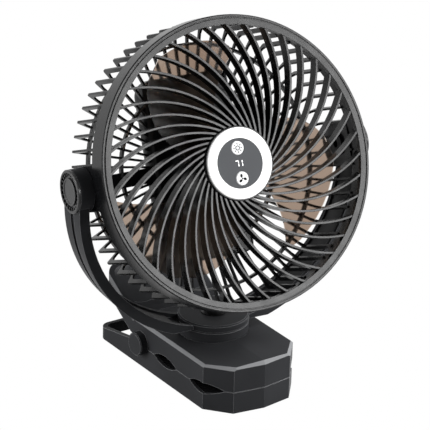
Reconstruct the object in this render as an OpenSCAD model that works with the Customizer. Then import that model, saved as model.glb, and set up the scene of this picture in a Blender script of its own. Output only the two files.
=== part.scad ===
// Portable clip fan: a spring-jaw base with a push paddle and a hanging loop, a swivelling
// U-shaped yoke, and a tilting head with a swirl grille, three blades and a light ring.
// Millimetres. Origin on the floor under the swivel axis, front towards -Y, up is +Z.

/* [Stance] */
// Gap between the swivel bolt and the head when the head tilts past it
head_gap = 1.4; // [1:0.1:3]
// Upward tilt of the head at rest, in degrees
tilt = 23; // [15:1:30]
// Turn of the yoke on the base at rest, in degrees
pan = 6; // [0:1:10]

/* [Base] */
// Half width of the charging socket
port_w = 4.4; // [4.3:0.05:4.6]
// Half height of the charging socket
port_h = 1.6; // [1.5:0.05:1.7]
// Half width of the base
base_w = 39; // [38.5:0.1:40]
// Height of the seam between the two jaws
seam_z = 17.2; // [17:0.1:17.6]
// Height of the side edges above the seam
side_h = 18.4; // [17.8:0.1:19]
// Rise of the roof from its side edges to its centre ridge
crown = 2; // [1.5:0.1:2.5]
// Distance from the swivel axis to the nose of the base
nose_y = 67; // [66:0.5:69]
// Wall thickness of the upper jaw housing
wall = 2.4; // [2:0.1:2.6]
// Size of the bevel along the top edges
bevel = 1.8; // [1:0.1:2.2]
// Gap between the closed jaws
jaw_gap = 0.3; // [0.2:0.05:0.4]

/* [Clamp] */
// Position of the clamp pin behind the swivel axis
pin_y = 35.2; // [35:0.1:35.6]
// Height of the clamp pin above the seam
pin_up = 2.2; // [2:0.1:2.4]
// Radius of the clamp pin
pin_r = 2.5; // [2.2:0.1:2.6]
// Radius of the round pivot caps
disc_r = 8.8; // [8.6:0.1:9]
// How far the pivot caps stand out from the sides
disc_out = 6; // [4:0.5:7]
// Length of each pole hole along the seam
lens_len = 29.6; // [28:0.2:30]
// Height of each pole hole
lens_h = 8.6; // [8:0.2:9]
// Rear end of the hanging loop
loop_y = 94.6; // [92:0.2:96]
// Thickness of the loop strap
loop_t = 3.2; // [3:0.1:3.4]
// Height of the loop strap at its rear end
loop_h = 9; // [8:0.5:10]
// Rear end of the push paddle
paddle_y = 89.8; // [88:0.2:91]
// Wire radius of the clamp spring
wire_r = 1; // [0.8:0.1:1.1]
// Running clearance between pins and bores
run_fit = 0.05; // [0.02:0.01:0.08]

/* [Yoke] */
// Side gap between the front ring and the yoke
yoke_gap = 1.8; // [1.4:0.1:3]
// How far the yoke's bow would dip below its foot plate
bow_drop = 6.7; // [6.2:0.1:7]
// Width of the yoke band
yoke_w = 25; // [24:0.5:26]
// Thickness of the yoke band with its lips
yoke_t = 7.6; // [7.4:0.1:7.8]
// Radius of the eyes that hold the head
eye_r = 15.5; // [15:0.1:16]
// Radius of the swivel collar
collar_r = 26; // [25:0.5:26.5]
// Height of the swivel plate's underside above the roof ridge
collar_h = 7.1; // [6.8:0.1:7.6]
// Thickness of the swivel plate
plate_t = 5; // [4.5:0.1:5.5]
// Radius of the trunnion pins
trunnion_r = 6; // [5:0.1:7]
// Radius of the swivel bolt
bolt_r = 4; // [3.5:0.1:4.5]
// Thickness of the trunnion caps
cap_t = 2; // [1.8:0.1:3]

/* [Head] */
// Outer radius of the front ring
ring_r = 104.6; // [104.2:0.1:105]
// Width of the front ring's face
ring_w = 6.9; // [6.3:0.1:7.6]
// Front face of the ring ahead of the tilt axis
ring_z = 34; // [33.6:0.1:34.4]
// Depth of the front ring's rim
rim_d = 17; // [16:0.5:18]
// Wall of the front ring's rim
rim_t = 1.9; // [1.6:0.1:2.2]
// Gap between the rim and the rear cage
cage_fit = 0.3; // [0.2:0.05:0.5]
// Depth of the rear cage's corner behind the tilt axis
cage_back = 24.5; // [24:0.1:26]
// How much deeper the rear cage is at its centre
dome = 13.1; // [11:0.1:14]
// Number of rear bars
cage_bars = 60; // [48:4:72]
// Width of a rear bar
bar_w = 1.6; // [1.2:0.1:2]
// Depth of a rear bar
bar_d = 2.8; // [2.4:0.1:3.2]
// Depth of the bars along the side of the cage
side_t = 3.4; // [3:0.1:4]
// Radius of the inner hoop of the rear cage
hoop_1 = 60.6; // [58:0.5:64]
// Radius of the outer hoop of the rear cage
hoop_2 = 88.5; // [85:0.5:90]
// Half width of the back panel
panel_w = 37.5; // [36:0.5:40]
// Half height of the back panel
panel_h = 67; // [64:0.5:68]
// Thickness of the back panel
panel_t = 8.5; // [7.5:0.1:9]

/* [Grille] */
// Number of swirl ribs
ribs = 40; // [32:2:44]
// Thickness of a rib
rib_t = 1.6; // [1.4:0.1:1.8]
// Depth of a rib
rib_d = 8; // [6:0.5:10]
// Turn of the first rib, in degrees
rib_turn = 4.3; // [0:0.1:9]
// Radius of the arc that each rib follows
rib_arc = 96; // [94:0.5:98]
// Radius of the hub housing
hub_r = 26.3; // [26:0.1:27]
// Wall of the hub housing
hub_wall = 1.1; // [0.9:0.1:1.5]
// Width of the light ring
light_w = 7.5; // [7:0.1:8]
// How far the light ring stands ahead of the front ring
hub_out = 2.2; // [1.5:0.1:3]
// Radius of the two push buttons
button_r = 4.85; // [4.5:0.05:5.2]
// Distance of the buttons from the display's edge
button_in = 2.05; // [1.8:0.05:2.3]
// Side gap round each button
button_gap = 0.3; // [0.2:0.05:0.4]

/* [Rotor] */
// Number of blades
blades = 3; // [3:1:3]
// Gap between the blade tips and the cage
tip_gap = 10; // [8:0.5:13]
// Pitch of the blades at the hub, in degrees
pitch = 13.1; // [12:0.1:14]
// Radius of the curved section of the blades
blade_c = 230; // [220:5:245]
// Blade thickness
blade_t = 1.6; // [1.2:0.1:2]
// Radius of the rotor hub
rotor_r = 24; // [23:0.5:26]
// Radius of the motor shaft
shaft_r = 2; // [1.5:0.1:2.5]

/* [Hidden] */
$fn = 96;
eps = 0.01;
floor_z = 0.6;
side_z = seam_z + side_h;
ridge_z = side_z + crown;
lower_z = seam_z - jaw_gap / 2;
upper_z = seam_z + jaw_gap / 2;
pin_z = seam_z + pin_up;
corner_y = nose_y - 21.3;
brow_y = nose_y - 3.6;
brow_x = base_w - 14.8;
block_y = pin_y - 11.2;
lens_r = (lens_len * lens_len / 4 + lens_h * lens_h / 4) / lens_h;
lens_1 = pin_y - 32;
lens_2 = -nose_y + 23.6;
land_y = (lens_1 + lens_2) / 2;
grip_t = 1.2;
foot_z = seam_z - lens_h / 2 - grip_t - 2.3;
screw_x = base_w - 14;
cover_x = base_w - 17;
mat_w = base_w - 21;
cheek = loop_t + 0.4;
coil_r = pin_r + 0.3 + wire_r;
port_y = -nose_y + 30;
cell_z = seam_z + lens_h / 2 + grip_t + 1.9;
port_z = cell_z + 3;
nut_z = ridge_z - 9.6;
plate_z = ridge_z + collar_h;
pivot_z = plate_z + plate_t + 3.3 + head_gap + sqrt(ring_r * ring_r + ring_z * ring_z);
yoke_r = ring_r + yoke_gap + yoke_t;
bow_z = plate_z - bow_drop + yoke_r;
bow_in = yoke_r - yoke_t;
channel = yoke_t - 4;
ring_in = ring_r - ring_w;
cage_r = ring_r - rim_t - cage_fit;
eye_in = cage_r + 1.2;
eye_out = yoke_r + 0.2;
cap_out = eye_out + cap_t;
light_r = hub_r - hub_wall;
disp_r = light_r - light_w;
button_y = disp_r - button_r - button_in;
light_z = ring_z + hub_out;
ledge_z = light_z - 3.4;
seat_z = light_z - 5.2;
cup_z = ring_z - 14.5;
disp_z = light_z - 0.3;
rotor_front = cup_z - 5.5;
rotor_back = rotor_front - 27;
can_z = rotor_back - 7.1;
motor_r = rotor_r - 4.7;
tip_r = cage_r - side_t - tip_gap;
panel_back = dome_z(0) - 1.4;
panel_z = panel_back + panel_t;
cover_w = panel_w - 1.5;
cover_h = panel_h - 1.5;

function mirror_x(p) = [for (i = [len(p) - 1 : -1 : 0]) [-p[i][0], p[i][1]]];
function front_half(i) = [[-base_w + i, -corner_y + 0.36 * i],
  [-brow_x + 0.52 * i, -brow_y + 0.93 * i], [0, -nose_y + 1.01 * i]];
function outline(i, rear) = concat([[-base_w + i, rear]], front_half(i),
  [for (p = mirror_x(front_half(i))) if (p[0] > 0) p], [[base_w - i, rear]]);
function polar(r, a) = [r * cos(a), r * sin(a)];
// Rear face of the domed cage at radius r
function dome_z(r) = -cage_back - dome * (1 - r * r / cage_r / cage_r);

module plan(i, rear, z0, z1) {
  translate([0, 0, z0]) linear_extrude(z1 - z0) polygon(outline(i, rear));
}
// A side profile of [y, z] points, swept from x0 to x1
module sweep_x(pts, x0, x1) {
  translate([x0, 0, 0]) rotate([90, 0, 90]) linear_extrude(x1 - x0) polygon(pts);
}
module rod_x(y, z, r, x0, x1) {
  translate([x0, y, z]) rotate([0, 90, 0]) cylinder(r = r, h = x1 - x0);
}
module both() { children(); mirror([1, 0, 0]) children(); }
module box(x0, x1, y0, y1, z0, z1) { translate([x0, y0, z0]) cube([x1 - x0, y1 - y0, z1 - z0]); }
// Rounded rectangle of half sizes a and b
module soft_rect(a, b, r) {
  square([2 * a - 2 * r, 2 * b], center = true);
  square([2 * a, 2 * b - 2 * r], center = true);
  for (x = [-1, 1], y = [-1, 1]) translate([x * (a - r), y * (b - r)]) circle(r);
}
module bevel_cut(p, q, z, extra) {
  d = q - p;
  translate([p[0], p[1], z]) rotate([0, 0, atan2(d[1], d[0])]) translate([0, 0, -bevel])
    rotate([45, 0, 0]) translate([-extra, -8, 0]) cube([norm(d) + 2 * extra, 20, 20]);
}
module yoke_frame() { rotate([0, 0, -pan]) children(); }
// Head frame: x to the right, y up the face, z forwards out of the grille
module head_frame() {
  translate([0, 0, pivot_z]) rotate([0, 0, -pan]) rotate([90 - tilt, 0, 0]) children();
}

// Lens-shaped pole holes: two arcs that meet on the seam
module lens_cut(up, more, x) {
  for (y = [lens_1, lens_2])
    rod_x(y, seam_z + up * (lens_h / 2 - lens_r), lens_r + more, -x, x);
}
module grips(up) {
  z0 = up > 0 ? upper_z + 0.15 : lower_z - 6;
  for (y = [lens_1, lens_2]) {
    intersection() {
      difference() {
        rod_x(y, seam_z + up * (lens_h / 2 - lens_r), lens_r + grip_t - 0.1, -base_w, base_w);
        rod_x(y, seam_z + up * (lens_h / 2 - lens_r), lens_r + 0.2, -base_w - 1, base_w + 1);
        for (a = [-24 : 4 : 24])
          translate([0, y, seam_z + up * (lens_h / 2 - lens_r)])
            rotate([a, 0, 0]) translate([0, 0, up * (lens_r + 0.2)]) rotate([0, 90, 0])
              cylinder(r = 0.45, h = 3 * base_w, center = true);
      }
      plan(wall + 0.6, block_y, z0, z0 + 5.85);
    }
  }
}

module at_screws() {
  for (y = [-nose_y + 20, block_y - 10], x = [-screw_x, screw_x]) translate([x, y, 0]) children();
}

module lower_jaw() {
  color([0.15, 0.155, 0.16]) difference() {
    union() {
      difference() {
        plan(0, block_y, floor_z, lower_z);
        lens_cut(-1, 0, base_w + 1);
        intersection() {
          lens_cut(-1, grip_t, base_w - wall - 0.4);
          plan(wall + 0.4, block_y + 9, 5, seam_z);
        }
        plan(3, block_y - 3, floor_z - 1, foot_z);
      }
      at_screws() translate([0, 0, 3]) cylinder(r = 4, h = foot_z - 2.4);
      box(-base_w + 2, base_w - 2, land_y - 2, land_y + 2, 3, foot_z + 0.2);
      both() difference() {
        union() {
          intersection() {
            sweep_x([[block_y - 1, floor_z], [loop_y, floor_z], [loop_y, floor_z + loop_h],
              [loop_y - 8, floor_z + loop_h + 0.6], [pin_y + 17.2, pin_z - 3],
              [pin_y, pin_z], [pin_y - 6, lower_z], [block_y - 1, lower_z]], -base_w - 1, 0);
            translate([0, 0, floor_z]) linear_extrude(40) difference() {
              union() {
                translate([-base_w, 0]) square([base_w, loop_y - 9]);
                translate([-base_w + 9, 0]) square([base_w, loop_y]);
                translate([-base_w + 9, loop_y - 9]) circle(9);
              }
              translate([-base_w + cheek, -1]) square([base_w, loop_y - 8]);
              translate([-base_w + 9, -1]) square([base_w, loop_y - cheek + 1]);
              translate([-base_w + 9, loop_y - 9]) circle(9 - cheek);
            }
          }
          rod_x(pin_y, pin_z, disc_r, -base_w, -base_w + cheek);
        }
      }
    }
    rod_x(pin_y, pin_z, pin_r + run_fit, -base_w - 1, base_w + 1);
    translate([7, pin_y, pin_z - coil_r]) rotate([102, 0, 0])
      cylinder(r = wire_r + 0.3, h = 13.3, $fn = 32);
    at_screws() translate([0, 0, 2]) cylinder(r = 1.45, h = 7);
  }
}

module base_plate() {
  color([0.13, 0.13, 0.14]) difference() {
    plan(3.2, block_y - 3.2, floor_z, 3);
    box(-mat_w - 0.2, mat_w + 0.2, -nose_y + 11.8, block_y - 4.8, floor_z - 1, floor_z + 1);
    at_screws() {
      cylinder(r = 1.7, h = 4);
      cylinder(r = 3.1, h = 2);
    }
  }
}

module screw(head_r, head_h, r, l) {
  difference() {
    cylinder(r = head_r, h = head_h);
    for (a = [0, 90]) rotate([0, 0, a]) box(-head_r * 0.6, head_r * 0.6, -0.3, 0.3, -1, 0.6);
  }
  translate([0, 0, head_h - eps]) cylinder(r = r, h = l);
}

module base_screws() {
  color([0.6, 0.6, 0.62]) at_screws() translate([0, 0, 0.8]) screw(2.8, 1.2, 1.4, 6.5);
}

module foot_mat() {
  color([0.05, 0.05, 0.05]) difference() {
    box(-mat_w, mat_w, -nose_y + 12, block_y - 5, 0, floor_z + 1);
    for (y = [-nose_y + 14 : 6 : block_y - 9]) box(-mat_w + 2.5, mat_w - 2.5, y, y + 2, -1, 0.5);
  }
}

module lower_grips() { color([0.04, 0.04, 0.04]) grips(-1); }
module upper_grips() { color([0.04, 0.04, 0.04]) grips(1); }

module clamp_pin() {
  color([0.7, 0.7, 0.72]) rod_x(pin_y, pin_z, pin_r, -base_w - disc_out + 2, base_w + disc_out - 2);
}

module pivot_caps() {
  color([0.17, 0.175, 0.18]) both() difference() {
    union() {
      rod_x(pin_y, pin_z, disc_r, -base_w - disc_out + 0.8, -base_w);
      translate([-base_w - disc_out + 0.8, pin_y, pin_z]) rotate([0, -90, 0])
        cylinder(r1 = disc_r, r2 = disc_r - 0.8, h = 0.8);
    }
    rod_x(pin_y, pin_z, pin_r + run_fit, -base_w - disc_out + 1.8, base_w);
  }
}

module paddle_side(x0, x1) {
  sweep_x([[-nose_y - 1, upper_z], [pin_y + 8.6, upper_z], [pin_y + 8.9, pin_z + 2],
    [pin_y + 14.8, pin_z + 3.3], [paddle_y - 13.8, pin_z + 18.3], [paddle_y - 9, pin_z + 22.6],
    [paddle_y - 1.6, pin_z + 33.4], [paddle_y, pin_z + 37], [paddle_y - 0.8, pin_z + 39.9],
    [pin_y + 21.8, pin_z + 21.1], [pin_y + 16.8, pin_z + 18.6], [pin_y + 10.8, side_z + 0.5],
    [pin_y + 2.8, ridge_z + 1],
    [-nose_y - 1, ridge_z + 1]], x0, x1);
}

module upper_housing() {
  top = front_half(0);
  color([0.15, 0.155, 0.16]) difference() {
    union() {
      intersection() {
        paddle_side(-base_w - 1, base_w + 1);
        translate([0, 0, 10]) linear_extrude(60) union() {
          polygon(outline(0, paddle_y - 14));
          translate([0, paddle_y - 28]) soft_rect(base_w, 28, 13);
        }
      }
      both() rod_x(pin_y, pin_z, 7.8, -base_w + cheek + 0.3, -26);
    }
    // roof, sloping from the ridge to both sides
    both() translate([0, -nose_y - 2, ridge_z])
      rotate([0, atan2(ridge_z - side_z, base_w), 0]) translate([-1, 0, 0])
        cube([60, nose_y + 48, 20]);
    for (p = [[top[0], top[1]], [top[1], top[2]]]) both()
      bevel_cut(p[0], p[1], side_z + (ridge_z - side_z) * (1 + (p[0] + p[1])[0] / 2 / base_w), 5);
    both() translate([-base_w, -corner_y - 1, side_z - bevel]) rotate([0, -45, 0])
      translate([-10, 0, 0]) cube([30, corner_y + 47, 20]);
    both() translate([-base_w, pin_y + 21.8, pin_z + 21.1 - bevel * 1.16]) rotate([30.4, 0, 0])
      rotate([0, -45, 0]) translate([-10, -12, 0]) cube([30, 52, 20]);
    // dished thumb rest on the paddle
    intersection() {
      translate([0, paddle_y - 17.8, pin_z + 30]) rotate([30.2, 0, 0]) translate([0, -0.5, -6])
        linear_extrude(30) soft_rect(base_w - 4.2, 17.5, 11);
      translate([0, paddle_y - 17.8, pin_z + 30]) rotate([30.2, 0, 0]) translate([0, -0.5, 161.2])
        sphere(r = 165);
    }
    // battery bay, posts for the cover's screws and the slot for its tongue
    difference() {
      plan(wall, block_y, upper_z - 1, ridge_z - 4.4);
      both() translate([cover_x, land_y, upper_z + 2.15]) cylinder(r = 3.4, h = 30);
    }
    box(-12.3, 12.3, block_y - 1, block_y + 1.9, upper_z + 0.8, upper_z + 2.2);
    lens_cut(1, 0, base_w + 1);
    // room for the ears of the lower jaw, the pin, the spring and the swivel bolt
    both() rod_x(pin_y, pin_z, disc_r + 0.35, -base_w - 1, -base_w + cheek + 0.3);
    rod_x(pin_y, pin_z, pin_r + run_fit, -base_w, base_w);
    box(-26, 26, block_y + 3, pin_y + 9.5, upper_z - 8, pin_z + 9.5);
    translate([0, 0, ridge_z - 1.5]) cylinder(r = collar_r + 0.3, h = 5);
    translate([0, 0, nut_z - 8]) cylinder(r = bolt_r + run_fit, h = 30);
    both() translate([cover_x, land_y, upper_z - 1]) cylinder(r = 1.45, h = 12);
    // charging socket
    translate([0, port_y, port_z]) rotate([90, 0, 90]) linear_extrude(base_w + 1)
      soft_rect(port_w + 1.4, port_h + 1.4, 2.6);
  }
}

module jaw_cover() {
  i = wall + 0.15;
  color([0.13, 0.135, 0.14])
    box(-12, 12, block_y - 0.15 - eps, block_y + 1.6, upper_z + 1, upper_z + 2);
  color([0.13, 0.135, 0.14]) difference() {
    intersection() {
      plan(i, block_y - 0.15, upper_z, 30);
      union() {
        box(-base_w, base_w, -nose_y, block_y, upper_z, upper_z + 2);
        lens_cut(1, grip_t + 1.5, base_w);
      }
    }
    lens_cut(1, grip_t, base_w + 1);
    both() translate([cover_x, land_y, upper_z]) {
      translate([0, 0, -1]) cylinder(r = 1.7, h = 6);
      translate([0, 0, -1]) cylinder(r = 3.1, h = 2.2);
    }
  }
}

module cover_screws() {
  color([0.6, 0.6, 0.62]) both() translate([cover_x, land_y, upper_z + 0.1])
    screw(2.8, 1.1, 1.4, 7);
}

module battery_cells() {
  color([0.2, 0.35, 0.6]) both() box(8.5, base_w - wall - 0.5, land_y + 4.5, block_y - 0.5,
    cell_z, ridge_z - 4.8);
}

module charge_board() {
  color([0.1, 0.35, 0.2]) {
    box(-base_w + 18, base_w - wall - 2.2, port_y - 4.5, port_y + 6, cell_z - 0.1, cell_z + 1);
    for (x = [-17, -9, -1, 7])
      box(x, x + 5, port_y - 2.5, port_y + 3.5, cell_z + 1 - eps, cell_z + 2.6);
  }
}

module usb_port() {
  color([0.7, 0.7, 0.72]) difference() {
    translate([base_w - wall - 6, port_y, port_z]) rotate([90, 0, 90]) linear_extrude(7)
      soft_rect(port_w, port_h, port_h - 0.05);
    translate([base_w - wall - 5, port_y, port_z]) rotate([90, 0, 90]) linear_extrude(7)
      soft_rect(port_w - 0.4, port_h - 0.4, port_h - 0.45);
  }
  color([0.1, 0.1, 0.1])
    box(base_w - wall - 5.5, base_w - wall - 0.4, port_y - 2.8, port_y + 2.8, port_z - 0.3, port_z + 0.3);
}

module port_frame() {
  color([0.08, 0.08, 0.085]) translate([base_w - wall - 0.3, port_y, port_z]) rotate([90, 0, 90])
    linear_extrude(wall) difference() {
      soft_rect(port_w + 1.3, port_h + 1.3, 2.5);
      soft_rect(port_w + 0.1, port_h + 0.1, port_h);
    }
}

module clamp_spring() {
  color([0.72, 0.72, 0.74]) {
    for (i = [0 : 7]) translate([-7 + 2 * i, pin_y, pin_z]) rotate([0, 90, 0])
      rotate_extrude($fn = 48) translate([coil_r, 0]) circle(wire_r + 0.02, $fn = 16);
    translate([-7, pin_y, pin_z + coil_r]) rotate([-62, 0, 0]) translate([0, 0, -eps])
      cylinder(r = wire_r, h = 9, $fn = 16);
    translate([7, pin_y, pin_z - coil_r]) rotate([102, 0, 0]) translate([0, 0, -eps])
      cylinder(r = wire_r, h = 13, $fn = 16);
  }
}

module swivel_collar() {
  color([0.12, 0.125, 0.13]) rotate_extrude() polygon([[12, ridge_z - 1.5],
    [collar_r, ridge_z - 1.5], [collar_r, plate_z - 1.1], [collar_r - 0.8, plate_z - 0.3],
    [bolt_r + run_fit, plate_z - 0.3], [bolt_r + run_fit, plate_z - 3], [12, plate_z - 3]]);
}

module swivel_bolt() {
  color([0.7, 0.7, 0.72]) {
    translate([0, 0, nut_z - 0.4]) cylinder(r = bolt_r, h = plate_z + plate_t + 2.4 - nut_z);
    difference() {
      translate([0, 0, plate_z + plate_t + 0.9]) cylinder(r = 7, h = 2.4);
      translate([0, 0, plate_z + plate_t + 2]) cylinder(r = 3.4, h = 3, $fn = 6);
    }
  }
}

module swivel_nut() {
  color([0.66, 0.66, 0.68]) difference() {
    translate([0, 0, nut_z]) cylinder(r = 7, h = ridge_z - 4.4 - nut_z, $fn = 6);
    translate([0, 0, nut_z - 8]) cylinder(r = bolt_r + run_fit, h = 30);
  }
}

// Filled U shape: a bow below and straight arms up to the tilt axis
module bow(r) {
  intersection() {
    union() {
      translate([0, bow_z]) circle(r);
      translate([-r, bow_z]) square([2 * r, 60]);
    }
    translate([-r - 1, 0]) square([2 * r + 2, pivot_z]);
  }
}
module band(r_out, r_in, w) {
  rotate([90, 0, 0]) linear_extrude(w, center = true) difference() { bow(r_out); bow(r_in); }
}

module yoke() {
  color([0.15, 0.155, 0.16]) yoke_frame() difference() {
    union() {
      difference() {
        band(yoke_r, bow_in, yoke_w);
        band(yoke_r + 2, yoke_r - 1.5, 5);
        band(bow_in + channel, bow_in - 2, yoke_w - 6);
        box(-60, 60, -30, 30, 20, plate_z);
        both() box(-yoke_r - 6, -yoke_r + 14, -30, 30, pivot_z - 2, pivot_z + 5);
      }
      both() rod_x(0, pivot_z, eye_r, -eye_out, -eye_in);
      translate([0, 0, plate_z]) cylinder(r = collar_r, h = plate_t - 1);
      translate([0, 0, plate_z + plate_t - 1]) cylinder(r1 = collar_r, r2 = collar_r - 1, h = 1);
    }
    translate([0, 0, plate_z - 1]) cylinder(r = bolt_r + run_fit, h = 20);
    both() rod_x(0, pivot_z, trunnion_r + run_fit, -eye_out - 1, -eye_in + 1);
    both() rod_x(0, pivot_z, trunnion_r + 2 + run_fit, -eye_out - 1, -eye_out + 2.2);
  }
}

module yoke_liner() {
  color([0.1, 0.105, 0.11]) yoke_frame() difference() {
    band(bow_in + channel - 0.1, bow_in + channel - 1.9, yoke_w - 6.4);
    box(-60, 60, -30, 30, 20, plate_z + plate_t + 0.3);
    both() rod_x(0, pivot_z, eye_r + 0.3, -yoke_r, -eye_in);
  }
}

module swivel_washer() {
  color([0.68, 0.68, 0.7]) difference() {
    translate([0, 0, plate_z + plate_t]) cylinder(r = 9, h = 0.9);
    translate([0, 0, plate_z]) cylinder(r = bolt_r + 0.3, h = 20);
  }
}

// Trunnion cap with a toothed ring groove
module cap(s) {
  color([0.16, 0.165, 0.17]) yoke_frame() translate([0, 0, pivot_z]) rotate([0, s * 90, 0]) {
    difference() {
      union() {
        translate([0, 0, eye_out]) cylinder(r = eye_r, h = cap_out - eye_out - 0.5);
        translate([0, 0, cap_out - 0.5 - eps]) cylinder(r1 = eye_r, r2 = eye_r - 0.5, h = 0.5);
        translate([0, 0, eye_out - 2]) cylinder(r = trunnion_r + 2, h = 2.1);
      }
      difference() {
        translate([0, 0, cap_out - 1.6]) cylinder(r = eye_r - 2, h = 3);
        cylinder(r = eye_r - 5.75, h = cap_out + 10);
        for (a = [0 : 15 : 345]) rotate([0, 0, a])
          box(eye_r - 4.1, eye_r - 1.5, -0.5, 0.5, cap_out - 2, cap_out - 0.5);
      }
      translate([0, 0, cap_out - 0.35]) cylinder(r = eye_r - 6.9, h = 1);
    }
  }
}
module cap_left() { cap(-1); }
module cap_right() { cap(1); }

module pin_x(s) {
  start = cage_r - side_t - 2;
  color([0.1, 0.1, 0.105]) head_frame() rotate([0, s * 90, 0]) difference() {
    union() {
      translate([0, 0, start]) cylinder(r = trunnion_r, h = eye_out - 2.3 - start);
      translate([0, 0, start]) cylinder(r = trunnion_r + 2.5, h = 1.8);
    }
    translate([0, 0, start - 5]) cylinder(r = trunnion_r - 3, h = 40);
  }
}
module pin_left() { pin_x(-1); }
module pin_right() { pin_x(1); }

// A bar of width w: along the domed back, round the corner and up the side
module cage_bar(w) {
  inner = cage_r - side_t;
  back = [for (k = [0 : 5]) panel_w - 4 + (cage_r - 1.2 - panel_w + 4) * k / 5];
  front = [for (k = [0 : 4]) inner - 4 - (inner - panel_w) * k / 4];
  top = ring_z - rim_d + 2;
  rotate([90, 0, 0]) linear_extrude(w, center = true) polygon(concat(
    [for (r = back) [r, dome_z(r)]],
    [[cage_r, dome_z(cage_r) + 1.2], [cage_r, top], [inner, top],
      [inner, dome_z(inner) + bar_d + 4], [inner - 1.2, dome_z(inner) + bar_d + 1.2]],
    [for (r = front) [r, dome_z(r) + bar_d]]));
}

// Block of half sizes a and b with its front edges bevelled in two steps
module panel_block(a, b, r, z0, z1) {
  side = [[0, z0 - 1], [0, z1 - 6], [3.5, z1 - 0.7], [5.5, z1]];
  intersection() {
    translate([0, 0, z0]) linear_extrude(z1 - z0) soft_rect(a, b, r);
    rotate([90, 0, 0]) linear_extrude(2 * b + 2, center = true) polygon(concat(
      [for (p = side) [p[0] - a, p[1]]], [for (k = [3 : -1 : 0]) [a - side[k][0], side[k][1]]]));
    rotate([90, 0, 90]) linear_extrude(2 * a + 2, center = true) polygon([[-b, z0 - 1],
      [-b, z1 - 1.5], [1.5 - b, z1], [b - 1.5, z1], [b, z1 - 1.5], [b, z0 - 1]]);
  }
}
module at_bolts(z) {
  for (x = [-1, 1], y = [-1, 1]) translate([x * (cover_w - 6.5), y * (cover_h - 9), z]) children();
}
module hoop(r) {
  translate([0, 0, dome_z(r) - 0.5]) difference() {
    cylinder(r = r + 1, h = bar_d + 1.1);
    translate([0, 0, -1]) cylinder(r = r - 1, h = bar_d + 4);
  }
}

module rear_cage() {
  color([0.14, 0.145, 0.15]) head_frame() difference() {
    union() {
      difference() {
        union() {
          for (i = [0 : cage_bars - 1]) if (abs(i + 0.5 - cage_bars / 2) > 1)
            rotate([0, 0, (i + 0.5) * 360 / cage_bars]) cage_bar(bar_w);
          // the strut takes the place of two bars
          rotate([0, 0, 180]) cage_bar(11);
        }
        translate([0, 0, panel_back - 5]) linear_extrude(20) soft_rect(panel_w - 3, panel_h - 3, 10);
      }
      hoop(hoop_1);
      hoop(hoop_2);
      translate([0, 0, ring_z - rim_d]) difference() {
        cylinder(r = cage_r, h = rim_d - 5);
        translate([0, 0, -1]) cylinder(r = cage_r - 2.4, h = rim_d);
      }
      difference() {
        panel_block(panel_w, panel_h, 12, panel_back, panel_z);
        translate([0, 0, panel_back - 1]) linear_extrude(panel_t - 1.6)
          soft_rect(panel_w - 5.5, panel_h - 4, 9);
      }
      at_bolts(panel_back) cylinder(r = 3.6, h = panel_t - 2);
      both() intersection() {
        box(-eye_in + 0.4, -cage_r + side_t + 0.2, -16, 16, -cage_back, ring_z - rim_d - 0.3);
        union() {
          box(-yoke_r, 0, -16, 16, -14, 40);
          rod_x(0, 0, 22, -yoke_r, 0);
        }
      }
      // pedestal of the motor
      translate([0, 0, panel_z - 2.4]) cylinder(r = motor_r + 2.3, h = can_z - panel_z + 2.4);
      translate([0, 0, can_z - eps]) difference() {
        cylinder(r = motor_r + 2.3, h = 5);
        cylinder(r = motor_r + 0.3, h = 20);
      }
    }
    both() rod_x(0, 0, trunnion_r + run_fit, -yoke_r, -cage_r + side_t + 8);
    at_bolts(panel_back - 1) cylinder(r = 1.45, h = panel_t - 2);
    translate([0, 0, panel_back - 1]) cylinder(r = motor_r - 2, h = can_z - panel_back - 1.5);
  }
}

module back_cover() {
  color([0.13, 0.135, 0.14]) head_frame() difference() {
    translate([0, 0, panel_back]) mirror([0, 0, 1]) difference() {
      panel_block(cover_w, cover_h, 11, 0, 7);
      difference() {
        translate([0, 0, -1]) linear_extrude(5.6) soft_rect(cover_w - 3, cover_h - 3, 8);
        at_bolts(-2) cylinder(r = 4.8, h = 20);
      }
    }
    for (y = [-27 : 6 : 27])
      box(-sqrt(900 - y * y), sqrt(900 - y * y), y - 1, y + 1, panel_back - 20, panel_back - 3);
    at_bolts(panel_back - 20) {
      cylinder(r = 1.7, h = 30);
      cylinder(r = 3.1, h = 16);
    }
  }
}

module cover_bolts() {
  color([0.6, 0.6, 0.62]) head_frame() at_bolts(panel_back - 5.2) screw(2.8, 1.2, 1.4, 9);
}

// One rib: an arc that meets the ring and the hub about 36 degrees off radial
module rib() {
  tip = [ring_in + 0.2, 0];
  root = polar(hub_r - 0.3, -56);
  chord = root - tip;
  rise = sqrt(rib_arc * rib_arc - norm(chord) * norm(chord) / 4);
  centre = (tip + root) / 2 + [chord[1], -chord[0]] / norm(chord) * rise;
  intersection() {
    translate(centre) difference() {
      circle(rib_arc + rib_t / 2, $fn = 240);
      circle(rib_arc - rib_t / 2, $fn = 240);
    }
    translate([root[0] - 2, -1.5 * hub_r]) square([ring_r, 1.5 * hub_r + 5]);
    difference() { circle(ring_in + 1); circle(hub_r - 0.8); }
  }
}

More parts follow.
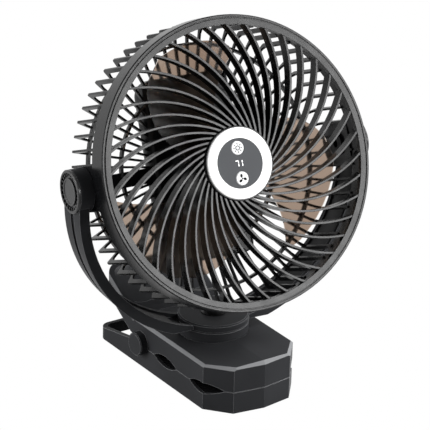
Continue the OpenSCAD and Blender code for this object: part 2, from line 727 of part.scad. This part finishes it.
module front_grille() {
  color([0.16, 0.165, 0.17]) head_frame() {
    difference() {
      union() {
        for (i = [0 : ribs - 1]) rotate([0, 0, rib_turn + i * 360 / ribs])
          translate([0, 0, ring_z - 0.4 - rib_d]) linear_extrude(rib_d) rib();
        rotate_extrude() polygon([[ring_in, ring_z - 4], [ring_in, ring_z],
          [ring_r - 2.7, ring_z], [ring_r - 2.7, ring_z - 0.9], [ring_r - 1.9, ring_z - 0.9],
          [ring_r - 1.9, ring_z - 0.3], [ring_r - 0.6, ring_z - 0.3], [ring_r, ring_z - 1],
          [ring_r, ring_z - rim_d], [ring_r - rim_t, ring_z - rim_d],
          [ring_r - rim_t, ring_z - 4]]);
        rotate_extrude() polygon([[0, cup_z], [hub_r - 1, cup_z], [hub_r, cup_z + 1],
          [hub_r, light_z - 0.9], [hub_r - 0.3, light_z - 0.6], [light_r + 0.15, light_z - 0.6],
          [light_r + 0.15, seat_z], [light_r - 1.8, seat_z], [light_r - 1.8, cup_z + 1.6],
          [0, cup_z + 1.6]]);
        for (a = [30, 150, 270]) rotate([0, 0, a]) translate([light_r - 7.2, 0, cup_z + 1.5])
          cylinder(r = 2.2, h = 1.6);
      }
    }
  }
}

module control_board() {
  color([0.12, 0.36, 0.22]) head_frame() {
    translate([0, 0, cup_z + 3.1]) cylinder(r = light_r - 2.1, h = 1.4);
    for (a = [0 : 30 : 330]) rotate([0, 0, a]) translate([light_r - 4.6, 0, cup_z + 4.5 - eps])
      box(-1.3, 1.3, -1.3, 1.3, 0, 1);
    for (y = [-1, 1]) translate([0, y * button_y, cup_z + 4.5 - eps]) {
      box(-2.6, 2.6, -2.6, 2.6, 0, 2.2);
      cylinder(r = 1.4, h = seat_z - 1.9 - cup_z - 4.5);
    }
    box(-10, 10, -4, 4, cup_z + 4.5 - eps, cup_z + 8);
  }
}

module light_ring() {
  color([0.97, 0.97, 0.96]) head_frame() rotate_extrude() polygon([[disp_r - 1, seat_z],
    [light_r, seat_z], [light_r, light_z - 0.5], [light_r - 0.5, light_z],
    [disp_r + 0.15, light_z], [disp_r + 0.15, ledge_z], [disp_r - 1, ledge_z]]);
}

module display_panel() {
  color([0.55, 0.56, 0.58]) head_frame() difference() {
    translate([0, 0, ledge_z]) cylinder(r = disp_r, h = disp_z - ledge_z);
    for (y = [-1, 1]) translate([0, y * button_y, 0]) cylinder(r = button_r + button_gap, h = 60);
  }
}

// Seven-segment bars for the number 71
module display_digits() {
  color([1, 1, 1]) head_frame() translate([0, 0, disp_z]) {
    box(-3.3, -1.1, 1.7, 2.2, 0, 0.15);
    box(-1.4, -0.8, 0.25, 1.9, 0, 0.15);
    box(-1.4, -0.8, -2.1, -0.25, 0, 0.15);
    box(1.6, 2.2, 0.25, 1.9, 0, 0.15);
    box(1.6, 2.2, -2.1, -0.25, 0, 0.15);
  }
}

module button(y) {
  color([0.95, 0.95, 0.95]) head_frame() translate([0, y, 0]) {
    translate([0, 0, ledge_z - 1]) cylinder(r = button_r, h = disp_z + 0.8 - ledge_z);
    translate([0, 0, disp_z - 0.2 - eps]) cylinder(r1 = button_r, r2 = button_r - 0.4, h = 0.4);
    translate([0, 0, ledge_z - 1.5]) cylinder(r = button_r + 0.7, h = 1.2);
    translate([0, 0, seat_z - 0.8]) cylinder(r = 1.4, h = ledge_z - seat_z);
  }
}
module light_button() { button(button_y); }
module fan_button() { button(-button_y); }

module light_icon() {
  color([0.45, 0.46, 0.48]) head_frame() translate([0, button_y, disp_z + 0.2 - eps]) {
    difference() { cylinder(r = 1.7, h = 0.12); translate([0, 0, -1]) cylinder(r = 1.2, h = 3); }
    for (a = [0 : 45 : 315]) rotate([0, 0, a]) box(2.35, 3.55, -0.24, 0.24, 0, 0.12);
  }
}

module fan_icon() {
  color([0.45, 0.46, 0.48]) head_frame() translate([0, -button_y, disp_z + 0.2 - eps]) {
    cylinder(r = 0.5, h = 0.12);
    for (a = [90, 210, 330]) rotate([0, 0, a]) translate([2, 0.5, 0]) intersection() {
      translate([0, 0.6, 0]) cylinder(r = 1.5, h = 0.12);
      translate([0, -0.6, 0]) cylinder(r = 1.5, h = 0.12);
    }
  }
}

module motor_can() {
  color([0.5, 0.5, 0.52]) head_frame() difference() {
    union() {
      translate([0, 0, can_z]) cylinder(r = motor_r, h = 24);
      translate([0, 0, can_z + 24 - eps]) cylinder(r = 5, h = 2);
    }
    translate([0, 0, can_z + 4]) cylinder(r = shaft_r + run_fit, h = 60);
    for (a = [0 : 30 : 330]) rotate([0, 0, a])
      box(motor_r - 3, motor_r + 3, -1.5, 1.5, can_z + 8, can_z + 21);
  }
}

module motor_shaft() {
  color([0.75, 0.75, 0.77]) head_frame() translate([0, 0, can_z + 4.6])
    cylinder(r = shaft_r, h = rotor_front + 2.4 - can_z - 4.6);
}

function edge_cw(r) = -25 - 0.45 * (r - 22);
function edge_ccw(r) = 42 - 0.36 * (r - 22) - 0.000066 * pow(r - 22, 3);

module blade_plan() {
  polygon(concat(
    [for (r = [rotor_r - 2 : 5.5 : tip_r - 2]) polar(r, edge_ccw(r))],
    [for (a = [edge_ccw(tip_r) - 4 : -4 : -46]) polar(tip_r, a)],
    [polar(tip_r - 1.2, -50), polar(tip_r - 4.5, edge_cw(tip_r - 4.5) + 0.5)],
    [for (r = [tip_r - 9 : -5.5 : rotor_r - 2]) polar(r, edge_cw(r))]));
}

module blade() {
  intersection() {
    translate([0, 0, rotor_back - 6]) linear_extrude(40) blade_plan();
    rotate([0, 0, -12])
      translate([0, blade_c * sin(pitch), rotor_front - 6.6 - blade_c * cos(pitch)])
        rotate([0, 90, 0]) difference() {
          cylinder(r = blade_c + blade_t / 2, h = 100, $fn = 360);
          translate([0, 0, -1]) cylinder(r = blade_c - blade_t / 2, h = 102, $fn = 360);
        }
  }
}

module rotor() {
  color([0.62, 0.5, 0.4]) head_frame() difference() {
    union() {
      for (i = [0 : blades - 1]) rotate([0, 0, i * 360 / blades]) blade();
      translate([0, 0, rotor_back]) cylinder(r = rotor_r, h = 27);
      translate([0, 0, rotor_front - eps]) cylinder(r1 = rotor_r, r2 = rotor_r - 3, h = 3);
    }
    translate([0, 0, rotor_back - 1]) cylinder(r = rotor_r - 2, h = 24);
    cylinder(r = shaft_r + run_fit, h = rotor_front + 10);
    translate([0, 0, rotor_front + 0.6]) cylinder(r = rotor_r - 5, h = 4);
  }
}

module rotor_nut() {
  color([0.7, 0.7, 0.72]) head_frame() difference() {
    translate([0, 0, rotor_front + 0.6]) cylinder(r = 4.6, h = 2.6, $fn = 6);
    cylinder(r = shaft_r + run_fit, h = rotor_front + 10);
  }
}

lower_jaw();
base_plate();
base_screws();
foot_mat();
lower_grips();
clamp_pin();
pivot_caps();
upper_housing();
jaw_cover();
cover_screws();
upper_grips();
battery_cells();
charge_board();
usb_port();
port_frame();
clamp_spring();
swivel_collar();
swivel_bolt();
swivel_nut();
yoke();
yoke_liner();
swivel_washer();
cap_left();
cap_right();
rear_cage();
back_cover();
cover_bolts();
front_grille();
pin_left();
pin_right();
motor_can();
motor_shaft();
rotor();
rotor_nut();
control_board();
light_ring();
display_panel();
display_digits();
light_button();
light_icon();
fan_button();
fan_icon();
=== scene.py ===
"""Looks for the portable clip fan: materials, a copy of the clamp spring, studio light and camera.

Lengths are in metres, lamp powers in watts and colours in linear red, green and blue.
"""

import math

import bmesh
import bpy
from mathutils import Matrix, Vector


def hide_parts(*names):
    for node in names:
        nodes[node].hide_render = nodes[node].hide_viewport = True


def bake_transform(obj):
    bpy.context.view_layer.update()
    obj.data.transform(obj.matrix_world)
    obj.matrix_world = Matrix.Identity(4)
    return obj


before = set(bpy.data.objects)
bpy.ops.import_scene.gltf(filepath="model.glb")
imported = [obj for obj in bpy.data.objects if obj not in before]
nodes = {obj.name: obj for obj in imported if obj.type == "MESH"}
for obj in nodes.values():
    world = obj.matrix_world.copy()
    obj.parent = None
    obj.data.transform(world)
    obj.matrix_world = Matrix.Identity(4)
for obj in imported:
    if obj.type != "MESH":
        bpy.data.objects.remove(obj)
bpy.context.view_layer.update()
scene = bpy.context.scene

# ---------------------------------------------------------------- colours
WHITE = (1.0, 1.0, 1.0)
BODY_BLACK = (0.029, 0.0297, 0.032)
CAGE_BLACK = (0.006, 0.0062, 0.0068)
GRILLE_BLACK = (0.0035, 0.0037, 0.0041)
INNER_BLACK = (0.005, 0.0051, 0.0056)
INK_BLACK = (0.006, 0.0062, 0.007)
# Paler grey painted on the edges as a highlight.
EDGE_HIGHLIGHT_GREY = (0.22, 0.223, 0.23)
# Paler grey painted on the 45 degree chamfers of the roof as a highlight.
CHAMFER_HIGHLIGHT_GREY = (0.21, 0.213, 0.22)
DIFFUSER_WHITE = (0.9, 0.9, 0.9)
KEY_WHITE = (0.85, 0.86, 0.87)
SMOKE = (0.5, 0.37, 0.26)
BLUE_OF_GREY = 1.04

# Values of a noise at which a surface has fully its low or its high tone.
LOW_STOP = 0.3
HIGH_STOP = 0.7
ROUGH_STOP = 0.75
NOISE_ROUGHNESS = 0.55

# Cosine between the rounded and the true normal: fully an edge, then fully a face.
EDGE_STOPS = ((0.93, 1), (0.992, 0))

# Upward share of the normal, with soft limits round the 0.707 of a slope of 45 degrees, for the
# painted chamfer highlight.
CHAMFER_STOPS = ((0.58, 0), (0.62, 1), (0.78, 1), (0.82, 0))
BEVEL_SAMPLES = 6


def grey(v):
    """A grey with a trace of blue."""
    return (v, v, v * BLUE_OF_GREY)


def greys(stops):
    """Colour stops from pairs of a place and a grey value."""
    return [(place, grey(v)) for place, v in stops]


# ---------------------------------------------------------------- materials
class Mat:
    """A node-based material with small helpers."""

    def __init__(self, name):
        self.mat = bpy.data.materials.new(name)
        self.mat.use_nodes = True
        self.tree = self.mat.node_tree
        self.bsdf = self.tree.nodes["Principled BSDF"]
        self.output = self.tree.nodes["Material Output"]
        self.coord = None

    def add(self, kind, **settings):
        """A new node with its settings, such as its operation."""
        node = self.tree.nodes.new(kind)
        for key, value in settings.items():
            setattr(node, key, value)
        return node

    def link(self, a, b):
        self.tree.links.new(a, b)

    def set(self, **values):
        """Sets sockets of the shader; an underscore stands for a space."""
        for key, value in values.items():
            self.bsdf.inputs[key.replace("_", " ")].default_value = value

    def position(self):
        """The place on the object, from one node that all patterns share."""
        if self.coord is None:
            self.coord = self.add("ShaderNodeTexCoord").outputs["Object"]
        return self.coord

    def noise(self, scale, detail):
        n = self.add("ShaderNodeTexNoise")
        n.inputs["Scale"].default_value = scale
        n.inputs["Detail"].default_value = detail
        n.inputs["Roughness"].default_value = NOISE_ROUGHNESS
        self.link(self.position(), n.inputs["Vector"])
        return n.outputs["Fac"]

    def ramp(self, fac, stops):
        r = self.add("ShaderNodeValToRGB")
        elements = r.color_ramp.elements
        while len(elements) < len(stops):
            elements.new(0.5)
        for element, (place, colour) in zip(elements, stops):
            element.position = place
            element.color = (*colour, 1)
        self.link(fac, r.inputs["Fac"])
        return r.outputs["Color"]

    def two_tone(self, low, high, scale, detail, high_stop=HIGH_STOP):
        """Noise that wanders between two colours."""
        return self.ramp(self.noise(scale, detail), [(LOW_STOP, low), (high_stop, high)])

    def colour(self, socket):
        self.link(socket, self.bsdf.inputs["Base Color"])

    def roughness(self, socket):
        self.link(socket, self.bsdf.inputs["Roughness"])

    def mix(self, fac, under, over):
        """The colour socket under, covered by the plain colour over where fac is 1."""
        n = self.add("ShaderNodeMix", data_type="RGBA", blend_type="MIX")
        sockets = {k.identifier: k for k in n.inputs}
        self.link(fac, sockets["Factor_Float"])
        self.link(under, sockets["A_Color"])
        sockets["B_Color"].default_value = (*over, 1)
        return next(k for k in n.outputs if k.identifier == "Result_Color")

    def bump(self, height, strength, distance, normal=None):
        b = self.add("ShaderNodeBump")
        b.inputs["Strength"].default_value = strength
        b.inputs["Distance"].default_value = distance
        self.link(height, b.inputs["Height"])
        if normal is not None:
            self.link(normal, b.inputs["Normal"])
        self.link(b.outputs["Normal"], self.bsdf.inputs["Normal"])


def edge_highlight_mask(m, soft):
    """1 along the rounded edges of a moulding, where a paler colour is painted as a highlight, and 0
    on its faces.
    """
    face = m.add("ShaderNodeNewGeometry")
    turn = m.add("ShaderNodeVectorMath", operation="DOT_PRODUCT")
    m.link(soft.outputs["Normal"], turn.inputs[0])
    m.link(face.outputs["True Normal"], turn.inputs[1])
    return m.ramp(turn.outputs["Value"], greys(EDGE_STOPS))


def chamfer_highlight_mask(m):
    """1 on the faces that slope at about 45 degrees round the roof, which get a painted highlight."""
    axes = m.add("ShaderNodeSeparateXYZ")
    m.link(m.add("ShaderNodeTexCoord").outputs["Normal"], axes.inputs[0])
    return m.ramp(axes.outputs["Z"], greys(CHAMFER_STOPS))


def plastic(name, base, rough, grain, shine, edge=0.0005, spread=0.18, rim=None, chamfer_highlight=None):
    """Moulded black plastic with fine grain, slight shade changes and rounded edges.

    An edge highlight is a paler colour painted on the edges as a highlight, and a chamfer highlight
    one painted on the 45 degree slopes.
    """
    m = Mat(name)
    low = [c * (1 - spread) for c in base]
    high = [c * (1 + spread) for c in base]
    shade = m.two_tone(low, high, scale=22, detail=2)
    smooth = grey(rough * 0.9)
    coarse = grey(rough * 1.12)
    m.roughness(m.two_tone(smooth, coarse, scale=90, detail=3, high_stop=ROUGH_STOP))
    soft = m.add("ShaderNodeBevel", samples=BEVEL_SAMPLES)
    soft.inputs["Radius"].default_value = edge
    # Painted highlight along the edges.
    if rim:
        shade = m.mix(edge_highlight_mask(m, soft), shade, rim)
    # Painted highlight on the chamfers.
    if chamfer_highlight:
        shade = m.mix(chamfer_highlight_mask(m), shade, chamfer_highlight)
    m.colour(shade)
    pores = m.noise(scale=1500, detail=2)
    m.bump(pores, strength=grain, distance=0.00012, normal=soft.outputs["Normal"])
    m.set(Specular_IOR_Level=shine)
    return m.mat


def rubber():
    """Dull black rubber with a coarse skin."""
    m = Mat("black_rubber")
    m.colour(m.two_tone((0.008, 0.008, 0.009), (0.016, 0.016, 0.017), scale=60, detail=4))
    m.bump(m.noise(scale=900, detail=3), strength=0.4, distance=0.0002)
    m.set(Roughness=0.8, Specular_IOR_Level=0.05)
    return m.mat


def steel(name, tone, rough):
    """Bare or blackened metal, by its tone."""
    m = Mat(name)
    m.colour(m.two_tone(grey(tone * 0.85), grey(tone), scale=140, detail=4))
    m.roughness(m.two_tone(grey(rough * 0.8), grey(rough * 1.2), scale=500, detail=2))
    m.set(Metallic=1.0)
    return m.mat


def smoky_amber():
    """Clear smoky amber plastic of the blades, darker the longer the way through it."""
    m = Mat("smoky_amber")
    m.colour(m.two_tone((0.92, 0.9, 0.88), (0.97, 0.95, 0.93), scale=18, detail=2))
    m.bump(m.noise(scale=120, detail=2), strength=0.02, distance=0.0001)
    m.set(Roughness=0.3, Transmission_Weight=1.0, IOR=1.03)
    m.set(Coat_Weight=0.5, Coat_Roughness=0.3, Coat_IOR=1.3)
    smoke = m.add("ShaderNodeVolumeAbsorption")
    smoke.inputs["Color"].default_value = (*SMOKE, 1)
    smoke.inputs["Density"].default_value = 1100
    m.link(smoke.outputs[0], m.output.inputs["Volume"])
    return m.mat


def glow(name, colour, strength):
    """Pale plastic that is lit from within."""
    m = Mat(name)
    m.colour(m.two_tone([c * 0.97 for c in colour], colour, scale=40, detail=2))
    m.bump(m.noise(scale=700, detail=2), strength=0.05, distance=0.0001)
    m.set(Roughness=0.35, Emission_Color=(*colour, 1), Emission_Strength=strength)
    m.set(Specular_IOR_Level=0.03)
    return m.mat


def window():
    """Grey tinted window in front of the display."""
    m = Mat("display_window")
    m.colour(m.two_tone((0.082, 0.085, 0.091), (0.09, 0.094, 0.1), scale=30, detail=2))
    m.bump(m.noise(scale=500, detail=2), strength=0.04, distance=0.0001)
    m.set(Roughness=0.3, Specular_IOR_Level=0.02)
    return m.mat


def board():
    """Green circuit board with paler tracks."""
    m = Mat("solder_mask")
    tracks = m.add("ShaderNodeTexBrick")
    tracks.inputs["Scale"].default_value = 320
    tracks.inputs["Color1"].default_value = (0.01, 0.075, 0.03, 1)
    tracks.inputs["Color2"].default_value = (0.012, 0.09, 0.036, 1)
    tracks.inputs["Mortar"].default_value = (0.03, 0.16, 0.07, 1)
    tracks.inputs["Mortar Size"].default_value = 0.03
    m.link(m.position(), tracks.inputs["Vector"])
    m.colour(tracks.outputs["Color"])
    m.bump(tracks.outputs["Fac"], strength=0.2, distance=0.0001)
    m.set(Roughness=0.35)
    return m.mat


# The body and the housing get the painted edge highlight.
BODY = {"rough": 0.35, "grain": 0.06, "shine": 0.02, "edge": 0.0006, "spread": 0.12, "rim": EDGE_HIGHLIGHT_GREY}
body = plastic("black_body", BODY_BLACK, **BODY)
# The housing also gets the painted highlight on its chamfers.
housing = plastic("black_housing", BODY_BLACK, chamfer_highlight=CHAMFER_HIGHLIGHT_GREY, **BODY)
cage = plastic("black_cage", CAGE_BLACK, rough=0.28, grain=0.12, shine=0.12, edge=0.0004)
grille = plastic("black_grille", GRILLE_BLACK, rough=0.24, grain=0.05, shine=0.17, edge=0.0004)
inner = plastic("black_inner", INNER_BLACK, rough=0.55, grain=0.3, shine=0.15, edge=0.0003)
caps = plastic("black_caps", CAGE_BLACK, rough=0.28, grain=0.1, shine=0.35, edge=0.0006)
rubber_black = rubber()
plain_steel = steel("plain_steel", tone=0.6, rough=0.3)
motor_steel = steel("motor_steel", tone=0.06, rough=0.5)
black_steel = steel("black_steel", tone=0.02, rough=0.4)
foil = steel("cell_foil", tone=0.7, rough=0.45)
amber = smoky_amber()
diffuser = glow("white_diffuser", DIFFUSER_WHITE, strength=0.32)
digits = glow("lit_segment", WHITE, strength=0.9)
key_white = glow("white_key", KEY_WHITE, strength=0.12)
ink = plastic("grey_ink", INK_BLACK, rough=0.5, grain=0.05, shine=0.05, spread=0.05)
panel = window()
pcb = board()

LOOKS = {
    body: "lower_jaw pivot_caps swivel_collar yoke back_cover",
    housing: "upper_housing",
    cage: "rear_cage",
    grille: "front_grille",
    caps: "cap_left cap_right",
    inner: "base_plate jaw_cover port_frame yoke_liner pin_left pin_right",
    rubber_black: "foot_mat lower_grips upper_grips",
    plain_steel: "base_screws clamp_pin cover_screws usb_port clamp_spring motor_shaft rotor_nut",
    black_steel: "swivel_bolt swivel_nut swivel_washer cover_bolts",
    motor_steel: "motor_can",
    foil: "battery_cells",
    pcb: "charge_board control_board",
    amber: "rotor",
    diffuser: "light_ring",
    panel: "display_panel",
    digits: "display_digits",
    key_white: "light_button fan_button",
    ink: "light_icon fan_icon",
}
for mat, names in LOOKS.items():
    for name in names.split():
        data = nodes[name].data
        data.materials.clear()
        data.materials.append(mat)


def flexing_spring():
    """The clamp spring as a piece of its own: a copy of its mesh in place of the hidden part."""
    spring = bpy.data.objects.new("torsion_spring", nodes["clamp_spring"].data.copy())
    scene.collection.objects.link(spring)
    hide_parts("clamp_spring")
    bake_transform(spring)


flexing_spring()


# ---------------------------------------------------------------- floor and world
FLOOR_HALF = 6
FLOOR_DROP = 0.0001  # keeps the floor off the foot mat's own underside
ROOM_LIGHT = 0.12
SEEN_LIGHT = 1.0


def background_rays(tree):
    """1 on the rays that see the background: camera, glossy and transmission rays."""
    rays = tree.nodes.new("ShaderNodeLightPath")
    total = rays.outputs["Is Camera Ray"]
    for kind in ("Is Glossy Ray", "Is Transmission Ray"):
        either = tree.nodes.new("ShaderNodeMath")
        either.operation = "MAXIMUM"
        tree.links.new(total, either.inputs[0])
        tree.links.new(rays.outputs[kind], either.inputs[1])
        total = either.outputs[0]
    return total


def show_to_background_rays(tree, shader, seen, output):
    """Background rays meet the shader seen, and the light on the object the other one."""
    mix = tree.nodes.new("ShaderNodeMixShader")
    tree.links.new(background_rays(tree), mix.inputs["Fac"])
    tree.links.new(shader.outputs[0], mix.inputs[1])
    tree.links.new(seen.outputs[0], mix.inputs[2])
    tree.links.new(mix.outputs[0], output.inputs["Surface"])


def white_floor():
    """Pale floor: white to the camera and in reflections, plain to the light."""
    m = Mat("studio_floor")
    m.colour(m.two_tone((0.44, 0.44, 0.44), (0.46, 0.46, 0.46), scale=3, detail=2))
    m.set(Roughness=0.9, Specular_IOR_Level=0.0)
    seen = m.add("ShaderNodeEmission")
    seen.inputs["Strength"].default_value = SEEN_LIGHT
    show_to_background_rays(m.tree, m.bsdf, seen, m.output)
    return m.mat


def studio_floor():
    mesh = bpy.data.meshes.new("floor")
    bm = bmesh.new()
    bmesh.ops.create_grid(bm, x_segments=1, y_segments=1, size=FLOOR_HALF)
    bm.to_mesh(mesh)
    bm.free()
    mesh.materials.append(white_floor())
    floor = bpy.data.objects.new("floor", mesh)
    floor.location.z = -FLOOR_DROP
    scene.collection.objects.link(floor)


def background(tree, strength):
    """A white background shader of a world."""
    node = tree.nodes.new("ShaderNodeBackground")
    node.inputs["Color"].default_value = (*WHITE, 1)
    node.inputs["Strength"].default_value = strength
    return node


def studio_world():
    """Dim white room light, with a full white behind the object."""
    world = bpy.data.worlds.new("studio")
    scene.world = world
    world.use_nodes = True
    tree = world.node_tree
    tree.nodes.clear()
    output = tree.nodes.new("ShaderNodeOutputWorld")
    room = background(tree, ROOM_LIGHT)
    seen = background(tree, SEEN_LIGHT)
    show_to_background_rays(tree, room, seen, output)


studio_floor()
studio_world()


# ---------------------------------------------------------------- lamps
# Name, place, the point that it faces, its two side lengths and its power. The front lamp
# mirrors in the front faces of the head, and the others give the base's faces their tones.
LAMPS = (
    ("front", (1.044, -2.664, 1.067), (0, 0, 0.164), (0.56, 0.56), 34),
    ("right", (1.08, -0.62, 0.72), (0, 0, 0.03), (0.9, 0.5), 18),
    ("left", (-1.15, 0.55, 0.45), (0, 0, 0.06), (0.9, 0.9), 18),
    ("key", (1.0, -0.5, 1.2), (0, 0, 0.03), (0.5, 0.5), 14),
)


def area_lamp(name, place, aim, size, power):
    light = bpy.data.lights.new(name, "AREA")
    light.shape = "RECTANGLE"
    light.size, light.size_y = size
    light.energy = power
    lamp = bpy.data.objects.new(name, light)
    lamp.location = place
    lamp.rotation_euler = (Vector(aim) - Vector(place)).to_track_quat("-Z", "Y").to_euler()
    scene.collection.objects.link(lamp)


for lamp_row in LAMPS:
    area_lamp(*lamp_row)


# ---------------------------------------------------------------- camera
# The camera that was fitted to the outline of the fan in the photograph.
FOCAL_PX = 2894.57
FRAME_PX = 430
SENSOR_MM = 36
YAW = math.radians(34.59)
PITCH = math.radians(23.559)
ROLL = math.radians(1.534)
DISTANCE = 1.99715
TARGET = Vector((-0.038334, -0.054404, 0.154814))
CLIP_START = 0.05


def photo_camera():
    """The camera at its distance from the target, turned by yaw, pitch and roll."""
    level = Vector((-math.sin(YAW), -math.cos(YAW), 0))
    upright = Vector((0, 0, 1))
    back = level * math.cos(PITCH) + upright * math.sin(PITCH)
    up = -level * math.sin(PITCH) + upright * math.cos(PITCH)
    right = Vector((math.cos(YAW), -math.sin(YAW), 0))
    rolled_right = right * math.cos(ROLL) + up * math.sin(ROLL)
    rolled_up = -right * math.sin(ROLL) + up * math.cos(ROLL)
    camera = bpy.data.objects.new("camera", bpy.data.cameras.new("camera"))
    camera.data.sensor_width = SENSOR_MM
    camera.data.lens = SENSOR_MM * FOCAL_PX / FRAME_PX
    camera.data.clip_start = CLIP_START
    placing = Matrix((rolled_right, rolled_up, back)).transposed().to_4x4()
    placing.translation = TARGET + back * DISTANCE
    camera.matrix_world = placing
    scene.collection.objects.link(camera)
    scene.camera = camera


photo_camera()
scene.view_settings.view_transform = "Standard"
